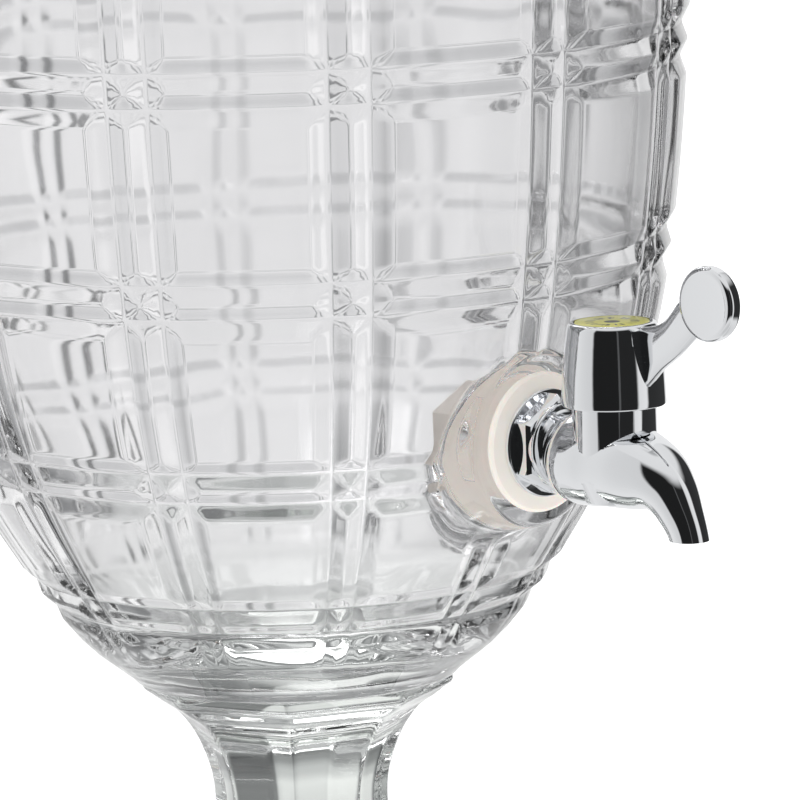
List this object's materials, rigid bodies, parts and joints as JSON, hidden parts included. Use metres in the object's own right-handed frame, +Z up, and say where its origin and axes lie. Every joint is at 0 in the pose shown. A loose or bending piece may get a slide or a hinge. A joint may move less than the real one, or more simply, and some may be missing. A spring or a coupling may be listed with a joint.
{
  "type": "beverage dispenser",
  "caption": "Footed cut-glass drinks dispenser with a domed glass lid and a chromed rotary tap whose cap and lever turn about a vertical axis.",
  "frame": {"origin": "centre of the foot's flat underside", "axes": "+Z up along the jar's axis, and the tap points to -Y"},
  "size_m": [0.2412, 0.309, 0.474],
  "materials": {
    "foot": "clear pressed glass with a faint grey-green tint",
    "jar": "clear pressed glass",
    "lid": "clear pressed glass",
    "lid_gasket": "clear silicone",
    "tap_body": "polished chrome plate",
    "washers": "milky translucent silicone",
    "shank_nut": "pale plastic",
    "valve_rotor": "white plastic",
    "o_rings": "black rubber",
    "steel": "plain steel",
    "tap_handle": "polished chrome plate",
    "cap_label": null
  },
  "bodies": {
    "dispenser": {"foot": "foot", "jar": "jar", "tap_body": "tap_body", "outer_washer": "washers", "inner_washer": "washers", "shank_nut": "shank_nut", "snap_ring": "steel"},
    "lever": {"tap_handle": "tap_handle", "valve_rotor": "valve_rotor", "lower_o_ring": "o_rings", "upper_o_ring": "o_rings", "handle_screw": "steel", "cap_label": "cap_label"},
    "lid": {"lid": "lid", "lid_gasket": "lid_gasket"}
  },
  "joints": [
    {"name": "lever_turn", "type": "hinge", "parent": "dispenser", "child": "lever", "pos_m": [0, -0.1395, 0.2], "axis": [0, 0, 1], "range_deg": [-90, 90]},
    {"name": "lid_lift", "type": "slide", "parent": "dispenser", "child": "lid", "axis": [0, 0, 1], "range_m": [0, 0.12]}
  ]
}
